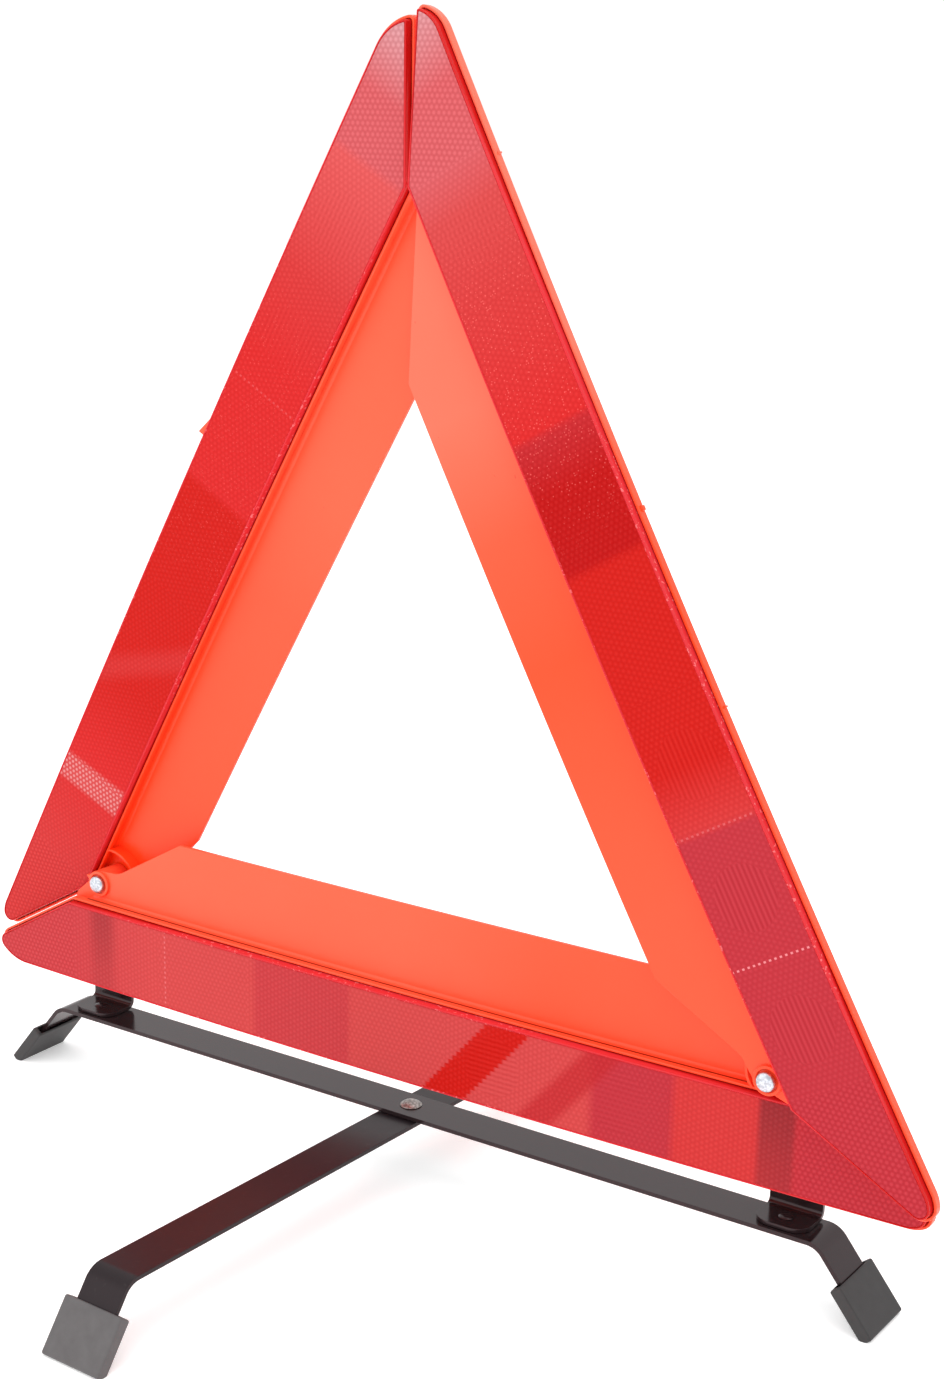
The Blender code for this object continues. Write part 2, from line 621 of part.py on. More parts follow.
# --- brackets between stand and bottom arm ----------------------------------------
def bracket(name, centre_x):
    """Bent tab: a foot with rounded corners on the stand, a wall behind the arm."""
    back = 0.5 * STRIP_W
    base = CROSS_TOP + 0.2
    outer_r = BRACKET_BEND + BRACKET_T
    bend_y = back - outer_r
    bend_z = base + outer_r
    side_view = [(-BRACKET_TOE, base + BRACKET_T), (-BRACKET_TOE, base)]
    side_view += around(bend_y, bend_z, outer_r, -90.0, 0.0, 5)
    side_view += [(back, BRACKET_TOP), (back - BRACKET_T, BRACKET_TOP)]
    side_view += around(bend_y, bend_z, BRACKET_BEND, 0.0, -90.0, 5)
    half = 0.5 * BRACKET_W
    body = plate(name, [side_view], -half, half)
    body.data.transform(Matrix.Rotation(math.radians(90.0), 4, "Z"))
    r = BRACKET_CORNER
    plan = [(-half, 12.0)] + around(-half + r, -BRACKET_TOE + r, r, 180.0, 270.0, 6)
    plan += around(half - r, -BRACKET_TOE + r, r, 270.0, 360.0, 6) + [(half, 12.0)]
    mask = plate("mask", [plan], -80.0, 80.0)
    mask.data.transform(Matrix.Rotation(math.radians(-90.0), 4, "X"))
    combine(body, mask, "INTERSECT")
    body.data.transform(Matrix.Translation((centre_x * MM, 0.0, 0.0)))
    foot_at = Vector((centre_x, 0.0, CROSS_TOP))
    wall_at = Vector((centre_x, 0.0, FRAME_RIVET_Z))
    cut(body, rod("hole", foot_at, UP, RIVET_BORE, -2.0, 6.0, 24),
        rod("hole", wall_at, BACKWARD, RIVET_BORE, 2.0, 14.0, 24))
    return dress(body, BLACK)


LEG_RIVET_LOW = -STRIP_T - BRACKET_T - 0.15
LEG_RIVET = [(0.0, 0.9), (1.2, 0.8), (2.2, 0.5), (2.7, 0.15), (2.7, 0.1), (1.6, 0.1),
             (1.6, LEG_RIVET_LOW), (0.0, LEG_RIVET_LOW)]
FRAME_RIVET = [(0.0, 1.6), (1.4, 1.45), (2.5, 1.0), (3.1, 0.4), (3.1, 0.3), (1.6, 0.3),
               (1.6, -10.0), (0.0, -10.0)]
for hand, side in (("right", 1.0), ("left", -1.0)):
    x = side * BRACKET_X
    bracket(hand + "_bracket", x)
    on_foot = Vector((x, 0.0, CROSS_TOP + 0.2 + BRACKET_T))
    on_wall = Vector((x, 0.5 * STRIP_W, FRAME_RIVET_Z))
    dress(turned(hand + "_leg_rivet", LEG_RIVET, on_foot, UP, 24), BLACK)
    dress(turned(hand + "_frame_rivet", FRAME_RIVET, on_wall, BACKWARD, 24), ZINC)
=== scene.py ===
"""Looks for the folding warning triangle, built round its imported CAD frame.

The three arms are made afresh in arm coordinates: u runs along the arm, v outward
from the triangle's centre and b backward. The stand's strips, boots, brackets and
rivets start from their CAD solids and get fine edges. Lengths are in millimetres.
"""

import json
import math

import bmesh
import bpy
from mathutils import Matrix, Vector


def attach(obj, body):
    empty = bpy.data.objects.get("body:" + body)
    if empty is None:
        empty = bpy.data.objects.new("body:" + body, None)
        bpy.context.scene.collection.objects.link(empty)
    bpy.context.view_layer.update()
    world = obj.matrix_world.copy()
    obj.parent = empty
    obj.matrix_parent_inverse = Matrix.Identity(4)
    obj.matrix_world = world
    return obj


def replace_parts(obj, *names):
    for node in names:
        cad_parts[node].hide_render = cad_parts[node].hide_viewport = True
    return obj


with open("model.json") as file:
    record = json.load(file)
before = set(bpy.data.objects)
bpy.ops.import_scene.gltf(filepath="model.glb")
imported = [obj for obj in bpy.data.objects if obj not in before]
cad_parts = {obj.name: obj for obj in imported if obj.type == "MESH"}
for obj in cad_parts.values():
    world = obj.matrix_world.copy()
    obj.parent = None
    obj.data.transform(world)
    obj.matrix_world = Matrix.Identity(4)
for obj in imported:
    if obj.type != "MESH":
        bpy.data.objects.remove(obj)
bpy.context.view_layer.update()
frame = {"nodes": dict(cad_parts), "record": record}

MM = 0.001
ROOT3 = math.sqrt(3.0)

# --- where the arms are, from the frame -------------------------------------------
CENTRE_Z = 171.5
PANEL_Y = -2.4
APEX_RISE = 347.5
RIGHT_OFFSET = 11.2
LEFT_OFFSET = 12.0
pivots = {j["name"]: Vector(j["pos_m"]) for j in frame["record"]["behaviour"]["joints"]}
RIGHT_PIVOT = pivots["right_arm_fold"]
LEFT_PIVOT = pivots["left_arm_fold"]
PIVOT_U = RIGHT_PIVOT.x / MM
PIVOT_V = CENTRE_Z - RIGHT_PIVOT.z / MM
TURNS = {"bottom": 0.0, "right": 120.0, "left": -120.0}

# --- arm section ------------------------------------------------------------------
OPENING_LINE = 62.7
RIM_LINE = 94.4
OUTER_LINE = 129.9
ARM_HALF = 225.0  # half the length of an arm's sharp-cornered outline
MITRE_GAP = 0.5
APEX_GAP = 0.6
LOWER_CORNER_R = 14.0
BOTTOM_LEFT_R = 21.0
APEX_RIGHT_R = 14.5
APEX_LEFT_R = 17.5
LOWER_TIP_R = 5.0
APEX_TIP_R = 2.2
CORNER_MIN = 0.3
PANEL_T = {"bottom": 1.5, "left": 1.5, "right": 1.1}
TRAY_BACK = 2.35
TRAY_FLOOR = 3.55
RIM_FRONT = 5.4
RIM_ROUND = 0.35
INNER_WALL = 1.0
OUTER_WALL = 1.0
FIT_GAP = 0.3
LENS_BACK = 3.85
LENS_FRONT = 8.0

# --- the moulded arms curve back a little towards both ends ---------------------------
BOW = {"bottom": 4.0, "right": 5.0, "left": 3.0}  # at BOW_REACH from the middle
BOW_REACH = 200.0
BOW_CUTS = [11.0 + 22.0 * k for k in range(-10, 10)]

# --- prisms: square windows, some with a ribbed disc --------------------------------
WINDOW = 45.7
WINDOW_START = -160.0
DISC_R = 11.4
DISC_V = 112.2
RIB_PITCH = 1.85
PRISM_PITCH = 1.75
STAIR = 1.9

# --- pivots -------------------------------------------------------------------------
BOSS_R = 5.3
RING_H = 1.2
HEAD_R = 3.4
RIB_T = 1.1
RIB_R = {"left": 12.0, "right": 10.6}
BOSS_GAP = 0.6
LUG_NECK = ((-12.2, -7.0), (-9.6, -5.9))  # from the pivot

# --- small features on the outer edges ------------------------------------------------
NUBS = ((-34.5, 0.8), (33.5, 1.4), (156.0, 0.8))  # centre, half length
NUB_H = 0.9
HOOK_START = -49.0
HOOK_END = -37.5
HOOK_H = 2.9
EDGE_ROOT = 0.8  # depth of their roots inside the edge


# --- node wiring ----------------------------------------------------------------------
class Graph:
    """A material's nodes, wired by short calls."""

    def __init__(self, name):
        self.material = bpy.data.materials.new(name)
        self.material.use_nodes = True
        self.tree = self.material.node_tree
        self.shader = self.tree.nodes["Principled BSDF"]
        point = self.node("ShaderNodeTexCoord").outputs["Object"]
        scaled = self.node("ShaderNodeVectorMath", operation="SCALE")
        self.tree.links.new(point, scaled.inputs[0])
        scaled.inputs["Scale"].default_value = 1.0 / MM
        self.point = scaled.outputs[0]

    def node(self, kind, **settings):
        made = self.tree.nodes.new(kind)
        for key, value in settings.items():
            setattr(made, key, value)
        return made

    def feed(self, value, socket):
        if isinstance(value, bpy.types.NodeSocket):
            self.tree.links.new(value, socket)
        else:
            socket.default_value = value

    def math(self, operation, a, b=0.0, clamp=False):
        made = self.node("ShaderNodeMath", operation=operation, use_clamp=clamp)
        self.feed(a, made.inputs[0])
        self.feed(b, made.inputs[1])
        return made.outputs[0]

    def axes(self):
        split = self.node("ShaderNodeSeparateXYZ")
        self.feed(self.point, split.inputs[0])
        return split.outputs[0], split.outputs[1], split.outputs[2]

    def wave(self, direction, pitch):
        """Cosine along a direction, -1 to 1."""
        dot = self.node("ShaderNodeVectorMath", operation="DOT_PRODUCT")
        self.feed(self.point, dot.inputs[0])
        dot.inputs[1].default_value = Vector(direction) * (2.0 * math.pi / pitch)
        return self.math("COSINE", dot.outputs["Value"])

    def step(self, value, low, high):
        """0 below low, 1 above high, smooth between; low may be above high."""
        made = self.node("ShaderNodeMapRange", interpolation_type="SMOOTHSTEP")
        self.feed(value, made.inputs["Value"])
        flip = low > high
        made.inputs["From Min"].default_value = min(low, high)
        made.inputs["From Max"].default_value = max(low, high)
        made.inputs["To Min"].default_value = 1.0 if flip else 0.0
        made.inputs["To Max"].default_value = 0.0 if flip else 1.0
        return made.outputs["Result"]

    def between(self, value, low, high, soft):
        rise = self.step(value, low - soft, low + soft)
        fall = self.step(value, high + soft, high - soft)
        return self.math("MULTIPLY", rise, fall)

    def mix(self, amount, first, second, blend="MIX"):
        made = self.node("ShaderNodeMix", data_type="RGBA", blend_type=blend)
        self.feed(amount, made.inputs["Factor"])
        self.feed(first, made.inputs["A"])
        self.feed(second, made.inputs["B"])
        return made.outputs["Result"]

    def ramp(self, value, stops):
        made = self.node("ShaderNodeValToRGB")
        self.feed(value, made.inputs["Fac"])
        elements = made.color_ramp.elements
        elements.remove(elements[1])
        for k, (place, colour) in enumerate(stops):
            element = elements[0] if k == 0 else elements.new(place)
            element.position = place
            element.color = colour
        return made.outputs["Color"]

    def noise(self, scale, detail=3.0, point=None, roughness=0.5):
        made = self.node("ShaderNodeTexNoise")
        self.feed(self.point if point is None else point, made.inputs["Vector"])
        made.inputs["Scale"].default_value = scale
        made.inputs["Detail"].default_value = detail
        made.inputs["Roughness"].default_value = roughness
        return made.outputs["Fac"]

    def bump(self, height, strength, distance):
        made = self.node("ShaderNodeBump")
        self.feed(height, made.inputs["Height"])
        made.inputs["Strength"].default_value = strength
        made.inputs["Distance"].default_value = distance * MM
        return made.outputs["Normal"]

    def done(self, **sockets):
        for name, value in sockets.items():
            self.feed(value, self.shader.inputs[name.replace("_", " ")])
        return self.material


def srgb(r, g, b):
    """Display colour, 0 to 255, as linear RGBA."""
    out = []
    for c in (r, g, b):
        c /= 255.0
        out.append(c / 12.92 if c <= 0.04045 else ((c + 0.055) / 1.055) ** 2.4)
    return (*out, 1.0)


# --- materials ------------------------------------------------------------------------
ORANGE_GAIN = (0.965, 1.35, 1.35)
ORANGE_LIFT = 0.035
LENS_GAIN = (1.36, 1.13, 1.13)
LENS_LIFT = 0.014


def shows(colour, gain=LENS_GAIN, lift=LENS_LIFT):
    """Base colour that reads as the given display colour under the studio light."""
    linear = srgb(*colour)
    return (*(max((c - lift) / g, 0.0) for c, g in zip(linear, gain)), 1.0)


def tone_along(g, u, stops, gain=LENS_GAIN, lift=LENS_LIFT):
    """Painted light and reflection along an arm: tones blended between (place along the arm, display
    colour) stops.
    """
    place = g.math("DIVIDE", g.math("ADD", u, ARM_HALF), 2.0 * ARM_HALF)
    return g.ramp(place, [((at + ARM_HALF) / (2.0 * ARM_HALF), shows(colour, gain, lift))
                          for at, colour in stops])


def orange_plastic(arm, stops):
    """Moulded plastic, a little cloudy, with fine grain and a few specks; its tone along the arm is
    painted light.
    """
    g = Graph(arm + "_orange_look")
    u, v, b = g.axes()
    tone = tone_along(g, u, stops, ORANGE_GAIN, ORANGE_LIFT)
    cloud = g.math("MULTIPLY", g.noise(0.03, 3.0), 0.16)
    tone = g.mix(cloud, tone, shows((255, 90, 52), ORANGE_GAIN, ORANGE_LIFT))
    speck = g.step(g.noise(0.55, 1.0), 0.79, 0.83)
    tone = g.mix(g.math("MULTIPLY", speck, 0.5), tone, srgb(150, 60, 40))
    grain = g.noise(5.0, 4.0)
    rough = g.math("ADD", g.math("MULTIPLY", g.noise(0.12), 0.12), 0.3)
    return g.done(Base_Color=tone, Roughness=rough, Normal=g.bump(grain, 0.08, 0.15),
                  Specular_IOR_Level=0.3)


def glossy_black(name, base, roughness, specular):
    g = Graph(name)
    peel = g.noise(0.7, 2.0)
    wear = g.step(g.noise(0.35, 5.0), 0.62, 0.74)
    tone = g.mix(g.math("MULTIPLY", wear, 0.35), base, (0.035, 0.03, 0.03, 1.0))
    rough = g.math("ADD", g.math("MULTIPLY", g.noise(0.2), 0.08), roughness)
    return g.done(Base_Color=tone, Roughness=rough, Normal=g.bump(peel, 0.04, 0.2),
                  Specular_IOR_Level=specular, Specular_Tint=(1.0, 0.85, 0.88, 1.0))


def rubber(name, shade):
    g = Graph(name)
    low = (shade, shade * 0.9, shade * 0.92, 1.0)
    high = (shade * 1.6, shade * 1.5, shade * 1.52, 1.0)
    tone = g.mix(g.noise(0.25, 4.0), low, high)
    grain = g.noise(3.0, 5.0)
    return g.done(Base_Color=tone, Roughness=0.58, Normal=g.bump(grain, 0.2, 0.2))


def plated(name, low, high, roughness):
    g = Graph(name)
    mottle = g.noise(1.1, 4.0)
    tone = g.mix(g.step(mottle, 0.38, 0.66), low, high)
    rough = g.math("ADD", g.math("MULTIPLY", g.noise(1.4, 3.0), 0.25), roughness)
    return g.done(Base_Color=tone, Metallic=0.9, Roughness=rough, Normal=g.bump(mottle, 0.3, 0.3))


def hex_cells(g, start):
    """Three crossing waves, peaks in a hexagonal grid."""
    total = 0.0
    for turn in (0.0, 60.0, 120.0):
        a = math.radians(start + turn)
        total = g.math("ADD", total, g.wave((math.cos(a), math.sin(a), 0.0), PRISM_PITCH))
    return g.math("MULTIPLY", total, 0.333)


def blend_heights(g, amount, first, second):
    mixed = g.node("ShaderNodeMix", data_type="FLOAT")
    g.feed(amount, mixed.inputs["Factor"])
    g.feed(first, mixed.inputs["A"])
    g.feed(second, mixed.inputs["B"])
    return mixed.outputs["Result"]


def disc_mask(g, u, v, discs):
    """Strength of the ribbed discs, each given as (place along the arm, strength)."""
    total = 0.0
    rise = g.math("SUBTRACT", v, DISC_V)
    rise = g.math("MULTIPLY", rise, rise)
    for centre, strength in discs:
        run = g.math("SUBTRACT", u, centre)
        reach = g.math("SQRT", g.math("ADD", g.math("MULTIPLY", run, run), rise))
        inside = g.step(reach, DISC_R + 0.4, DISC_R - 0.4)
        total = g.math("ADD", total, g.math("MULTIPLY", inside, strength))
    return total


def prism_red(arm, stops, discs, seam_glints, extras):
    """Red lens face: a smooth front over prisms whose tone changes along the arm; the tone, the seam
    dashes and the fields are painted reflections, shade and glints.
    """
    g = Graph(arm + "_prisms_look")
    u, v, b = g.axes()
    # painted reflections: the plate's tone along the arm
    tone = tone_along(g, u, stops)
    grid = g.math("FLOOR", g.math("DIVIDE", g.math("SUBTRACT", u, WINDOW_START), WINDOW))
    odd = g.math("GREATER_THAN", g.math("MODULO", g.math("ABSOLUTE", grid), 2.0), 0.5)
    height = blend_heights(g, odd, hex_cells(g, 0.0), hex_cells(g, 30.0))
    ribs = g.wave((0.0, 1.0, 0.0), RIB_PITCH)
    height = blend_heights(g, disc_mask(g, u, v, discs), height, ribs)
    for extra in extras:
        tone = extra(g, u, v, height, tone)
    tips = g.step(g.math("ABSOLUTE", u), 158.0, 162.0)
    contrast = g.math("ADD", g.math("MULTIPLY", tips, 0.35), 0.4)
    shade = g.math("ADD", g.math("MULTIPLY", height, contrast), 0.5, clamp=True)
    darker = g.mix(1.0, tone, (0.8, 0.66, 0.66, 1.0), "MULTIPLY")
    lighter = g.mix(0.03, tone, srgb(255, 150, 150))
    tone = g.mix(shade, darker, lighter)
    # painted glints: lighter dashes along the seams between the prism blocks
    dashes = g.step(g.wave((0.0, 1.0, 0.0), 2.1), 0.0, 0.5)
    for centre, amount in seam_glints:
        line = g.step(g.math("ABSOLUTE", g.math("SUBTRACT", u, centre)), 0.5, 0.2)
        line = g.math("MULTIPLY", g.math("MULTIPLY", line, dashes), amount)
        tone = g.mix(line, tone, srgb(255, 170, 175))
    return g.done(Base_Color=tone, Roughness=0.3, Normal=g.bump(height, 0.25, 0.3),
                  Specular_IOR_Level=0.04, Coat_Weight=0.04, Coat_Roughness=0.05, Coat_IOR=1.49)


def clear_red():
    """Smooth border and sides of the lenses, with small moulding glints on the border."""
    g = Graph("lens_side_look")
    u, v, b = g.axes()
    depth = g.step(b, -LENS_FRONT + 0.5, -LENS_FRONT + 1.6)
    tone = g.mix(depth, srgb(206, 44, 52), srgb(186, 12, 10))
    tone = g.mix(g.math("MULTIPLY", g.noise(0.05), 0.4), tone, srgb(214, 52, 54))
    glint = g.math("MULTIPLY", g.step(g.noise(0.8, 2.0), 0.61, 0.66), g.math("SUBTRACT", 1.0, depth))
    glint = g.math("MULTIPLY", glint, g.between(u, -135.0, 60.0, 15.0))
    tone = g.mix(g.math("MULTIPLY", glint, 0.4), tone, srgb(245, 150, 150))
    return g.done(Base_Color=tone, Roughness=0.15, Specular_IOR_Level=0.12,
                  Coat_Weight=0.06, Coat_Roughness=0.04)


def painted_band(low, high, soft, colour, amount, lean=0.0, stairs=False, fade=0.0):
    """A field of painted light and shade across the arm between two places along it, slanted by lean per
    mm of v.

    Its edges can follow the prism rows in stairs, and it can fade outward.
    """
    def paint(g, u, v, height, tone):
        row = g.math("SNAP", v, STAIR) if stairs else v
        along = g.math("ADD", u, g.math("MULTIPLY", g.math("SUBTRACT", row, DISC_V), lean))
        mask = g.math("MULTIPLY", g.between(along, low, high, soft), amount)
        if fade:
            left = g.math("SUBTRACT", 1.0, g.math("MULTIPLY", g.step(v, 98.0, 126.0), fade))
            mask = g.math("MULTIPLY", mask, left)
        return g.mix(mask, tone, shows(colour))
    return paint


def lit_cells(low, high, soft, colour, amount, lean):
    """A field whose prism tips catch the light."""
    def paint(g, u, v, height, tone):
        along = g.math("ADD", u, g.math("MULTIPLY", g.math("SUBTRACT", v, DISC_V), lean))
        dots = g.math("ADD", g.math("MULTIPLY", g.step(height, -0.15, 0.45), 0.75), 0.25)
        mask = g.math("MULTIPLY", g.between(along, low, high, soft), dots)
        return g.mix(g.math("MULTIPLY", mask, amount), tone, shows(colour))
    return paint


def sparkle(low, high, soft, colour, amount):
    """Fine prism glints scattered between two places along the arm."""
    def paint(g, u, v, height, tone):
        cell = g.node("ShaderNodeTexVoronoi", feature="F1")
        g.feed(g.point, cell.inputs["Vector"])
        cell.inputs["Scale"].default_value = 1.15
        near = g.step(cell.outputs["Distance"], 0.36, 0.2)
        split = g.node("ShaderNodeSeparateColor")
        g.feed(cell.outputs["Color"], split.inputs[0])
        lit = g.math("GREATER_THAN", split.outputs[0], 0.7)
        mask = g.math("MULTIPLY", g.math("MULTIPLY", near, lit), g.between(u, low, high, soft))
        return g.mix(g.math("MULTIPLY", mask, amount), tone, srgb(*colour))
    return paint


# tones of the red plates, as they should read: painted reflections, paler where a stretch reflects more
# light, deeper red where it reflects less, and painted glints
FADED = (230, 160, 165)
PALE = (230, 100, 105)
BLUSH = (240, 95, 95)
PINK = (230, 80, 80)
DUSTY = (220, 70, 75)
ROSE = (210, 60, 70)
CORAL = (230, 65, 65)
BRIGHT = (235, 50, 50)
PLAIN = (225, 40, 35)
WINE = (210, 50, 55)
DEEP = (205, 30, 30)
SHADE = (165, 55, 60)
GLINT = (245, 160, 160)
SPARK = (255, 120, 115)

# tones of the orange plastic, as painted light: paler where the panels catch more light
WARM = (255, 95, 60)
AMBER = (255, 105, 75)
LIGHT = (255, 115, 85)
PALEST = (255, 130, 105)

# per arm: tones along it (painted reflections), ribbed discs, dashed seams (painted glints) and fields of
# painted light, shade and glints
LENSES = {
    "bottom": ([(-160, DUSTY), (-115, PINK), (-66, PINK), (-64, DUSTY), (-21, DUSTY), (-19, PINK),
                (82, PINK), (86, ROSE), (115, ROSE), (117, CORAL), (145, CORAL), (165, ROSE)],
               [(43.5, 0.7), (95.0, 0.5)],
               [(-110.5, 0.2)],
               # painted shade: darker column above the left bracket, fading outward
               [painted_band(-150, -138, 4.0, SHADE, 0.6, fade=0.5),
                # painted reflections: a deeper red stepped band and a darker slanted band, where the
                # plate reflects less light
                painted_band(26.5, 44.5, 0.7, PLAIN, 1.0, 0.862, stairs=True),
                painted_band(68, 82, 3.0, WINE, 0.8, 0.862),
                # painted shade: darker column above the right bracket, fading outward
                painted_band(148, 161, 1.5, SHADE, 0.9, fade=0.35)]),
    "right": ([(-70, ROSE), (-68, CORAL), (-47, PLAIN), (22, PLAIN), (24, DEEP), (50, DEEP),
               (68, WINE), (70, BRIGHT), (115, CORAL), (145, PINK), (160, PALE), (185, PALE),
               (215, FADED)],
              [(-138.5, 1.0), (-93.0, 1.0), (-47.0, 0.8), (138.0, 0.4)],
              [(-114.3, 0.5), (-68.6, 0.15)],
              [sparkle(40, 130, 18.0, SPARK, 0.4)]),
    "left": ([(-207, FADED), (-182, PALE), (-161, PALE), (-159, BLUSH), (-115, CORAL), (-80, BRIGHT),
              (-24, BRIGHT), (-22, PLAIN), (70, PLAIN), (108, BRIGHT), (160, CORAL)],
             [(-137.0, 0.5), (-91.0, 0.5)],
             [(-68.5, 0.1)],
             # painted light: a paler slanted band
             [painted_band(51, 62, 5.0, CORAL, 0.6, -0.9),
              lit_cells(113, 125, 1.5, GLINT, 0.75, -0.1),
              sparkle(-110, 10, 20.0, SPARK, 0.18)]),
}
# painted light: each arm's orange tones along it, paler where the panel catches more light, most near the
# apex
PANEL_LIGHT_TONES = {
    "bottom": [(-90, LIGHT), (0, LIGHT), (60, AMBER)],
    "right": [(-90, AMBER), (0, WARM), (45, AMBER), (90, PALEST)],
    "left": [(-45, LIGHT), (0, AMBER), (150, WARM)],
}

ORANGE = {arm: orange_plastic(arm, PANEL_LIGHT_TONES[arm]) for arm in TURNS}
SIDES = clear_red()
PRISMS = {arm: prism_red(arm, *LENSES[arm]) for arm in TURNS}
BLACK = glossy_black("black_steel_look", (0.018, 0.01, 0.011, 1.0), 0.13, 0.38)
SWING = glossy_black("swing_steel_look", (0.013, 0.009, 0.0105, 1.0), 0.3, 0.24)
RUBBER = rubber("black_rubber_look", 0.02)
# paler rubber for the swing leg's feet
RUBBER_PALER = rubber("paler_rubber_look", 0.07)
ZINC = plated("zinc_steel_look", (0.42, 0.45, 0.5, 1.0), (0.7, 0.73, 0.78, 1.0), 0.24)
DARK = plated("dark_steel_look", (0.2, 0.18, 0.17, 1.0), (0.42, 0.38, 0.36, 1.0), 0.26)


# --- shapes ------------------------------------------------------------------------------
class Shape:
    """A mesh made of closed shells, in millimetres."""

    def __init__(self):
        self.mesh = bmesh.new()

    def take(self, part):
        """Adds another bmesh to this one."""
        bmesh.ops.recalc_face_normals(part, faces=part.faces)
        held = bpy.data.meshes.new("held")
        part.to_mesh(held)
        part.free()
        self.mesh.from_mesh(held)
        bpy.data.meshes.remove(held)

    def loft(self, rings, bands=None):
        """Shell through closed loops, each a list of points and a depth b."""
        part = bmesh.new()
        rows = [[part.verts.new((p[0], p[1], b)) for p in loop] for loop, b in rings]
        part.faces.new(rows[0])
        for k in range(len(rows) - 1):
            for i in range(len(rows[k])):
                j = (i + 1) % len(rows[k])
                face = part.faces.new((rows[k][i], rows[k][j], rows[k + 1][j], rows[k + 1][i]))
                face.material_index = bands[k] if bands else 0
        last = part.faces.new(list(reversed(rows[-1])))
        last.material_index = bands[-1] if bands else 0
        self.take(part)

    def slab(self, loop, front, back, edge):
        """Flat sheet with rounded edges, between depths b of -front and back."""
        part = bmesh.new()
        face = part.faces.new([part.verts.new((u, v, -front)) for u, v in loop])
        sheet = bmesh.ops.extrude_face_region(part, geom=[face])
        moved = [g for g in sheet["geom"] if isinstance(g, bmesh.types.BMVert)]
        bmesh.ops.translate(part, verts=moved, vec=(0.0, 0.0, front + back))
        part.normal_update()
        sharp = [e for e in part.edges if e.calc_face_angle(0.0) > math.radians(35.0)]
        bmesh.ops.bevel(part, geom=sharp, offset=edge, segments=3, profile=0.5, affect="EDGES",
                        clamp_overlap=True)
        self.take(part)

    def turned(self, profile, centre, segments=64):
        """Solid of revolution about the b direction, from (radius, depth b) points."""
        part = bmesh.new()
        rows = []
        for r, b in profile:
            if r == 0.0:
                rows.append([part.verts.new((centre[0], centre[1], b))])
                continue
            row = []
            for k in range(segments):
                a = 2.0 * math.pi * k / segments
                row.append(part.verts.new((centre[0] + r * math.cos(a), centre[1] + r * math.sin(a), b)))
            rows.append(row)
        for low, high in zip(rows, rows[1:]):
            for i in range(segments):
                j = (i + 1) % segments
                corner = [low[i % len(low)], low[j % len(low)], high[j % len(high)], high[i % len(high)]]
                part.faces.new([p for n, p in enumerate(corner) if p not in corner[:n]])
        self.take(part)

    def bend(self, bow):
        """Curves an arm back towards its ends, about its place at the pivots."""
        for u in BOW_CUTS:
            parts = self.mesh.verts[:] + self.mesh.edges[:] + self.mesh.faces[:]
            bmesh.ops.bisect_plane(self.mesh, geom=parts, plane_co=(u, 0.0, 0.0),
                                   plane_no=(1.0, 0.0, 0.0), dist=0.0001)
        for vert in self.mesh.verts:
            reach = vert.co.x ** 2 - PIVOT_U ** 2
            vert.co.z += bow * reach / BOW_REACH ** 2

    def finish(self, name, matrix, materials, body, slot, smooth=40.0):
        data = bpy.data.meshes.new(name)
        bmesh.ops.scale(self.mesh, vec=(MM, MM, MM), verts=self.mesh.verts)
        self.mesh.to_mesh(data)
        self.mesh.free()
        return show(name, data, matrix, materials, body, smooth)


def show(name, data, matrix, materials, body, smooth):
    data.shade_smooth()
    data.set_sharp_from_angle(angle=math.radians(smooth))
    for material in materials:
        data.materials.append(material)
    piece = bpy.data.objects.new(name, data)
    bpy.context.scene.collection.objects.link(piece)
    piece.matrix_world = matrix
    even = piece.modifiers.new("Weighted normals", "WEIGHTED_NORMAL")
    even.keep_sharp = True
    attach(piece, body)
    return piece


def arm_matrix(arm):
    """Arm coordinates to the row frame."""
    a = math.radians(TURNS[arm])
    plane = Matrix(((math.cos(a), math.sin(a), 0.0, 0.0), (0.0, 0.0, 1.0, 0.0),
                    (math.sin(a), -math.cos(a), 0.0, 0.0), (0.0, 0.0, 0.0, 1.0)))
    if arm == "bottom":
        return Matrix.Translation((0.0, PANEL_Y * MM, CENTRE_Z * MM)) @ plane
    at = RIGHT_PIVOT if arm == "right" else LEFT_PIVOT
    lean = math.atan(LEFT_OFFSET / APEX_RISE) if arm == "left" else -math.atan(RIGHT_OFFSET / APEX_RISE)
    flat = Vector((at.x, 0.0, -PIVOT_V * MM))
    return Matrix.Translation(at) @ Matrix.Rotation(lean, 4, "X") @ Matrix.Translation(-flat) @ plane


# --- outlines in arm coordinates -----------------------------------------------------------
def around(cu, cv, radius, first, last, steps):
    turns = [math.radians(first + (last - first) * k / steps) for k in range(steps + 1)]
    return [(cu + radius * math.cos(a), cv + radius * math.sin(a)) for a in turns]


def band_loop(inner, outer, low_end, high_end, steps=20):
    """Mitred band with a rounded tip at each end; an end is (gap, radius, corner).

    The tip's centre lies on the mitre line, and a small circle rounds the corner
    where the tip meets that line.
    """
    v_in = RIM_LINE + inner
    mitre = math.radians(30.0)
    points = []
    for side, (gap, radius, corner) in ((1.0, high_end), (-1.0, low_end)):
        cu = ROOT3 * (OUTER_LINE - radius)
        cv = OUTER_LINE - radius
        r = radius - outer
        q = max(corner - outer, CORNER_MIN)
        rise = gap + q
        run = math.sqrt((r - q) ** 2 - rise ** 2)
        fu = cu + run * math.cos(mitre) - rise * math.sin(mitre)
        fv = cv + run * math.sin(mitre) + rise * math.cos(mitre)
        bend = math.degrees(mitre + math.asin(rise / (r - q)))
        end = [(ROOT3 * v_in - 2.0 * gap, v_in)]
        end += around(fu, fv, q, -60.0, bend, 8)[:-1]
        end += around(cu, cv, r, bend, 90.0, steps)
        end = [(side * u, v) for u, v in end]
        points += end if side > 0 else list(reversed(end))
    return points


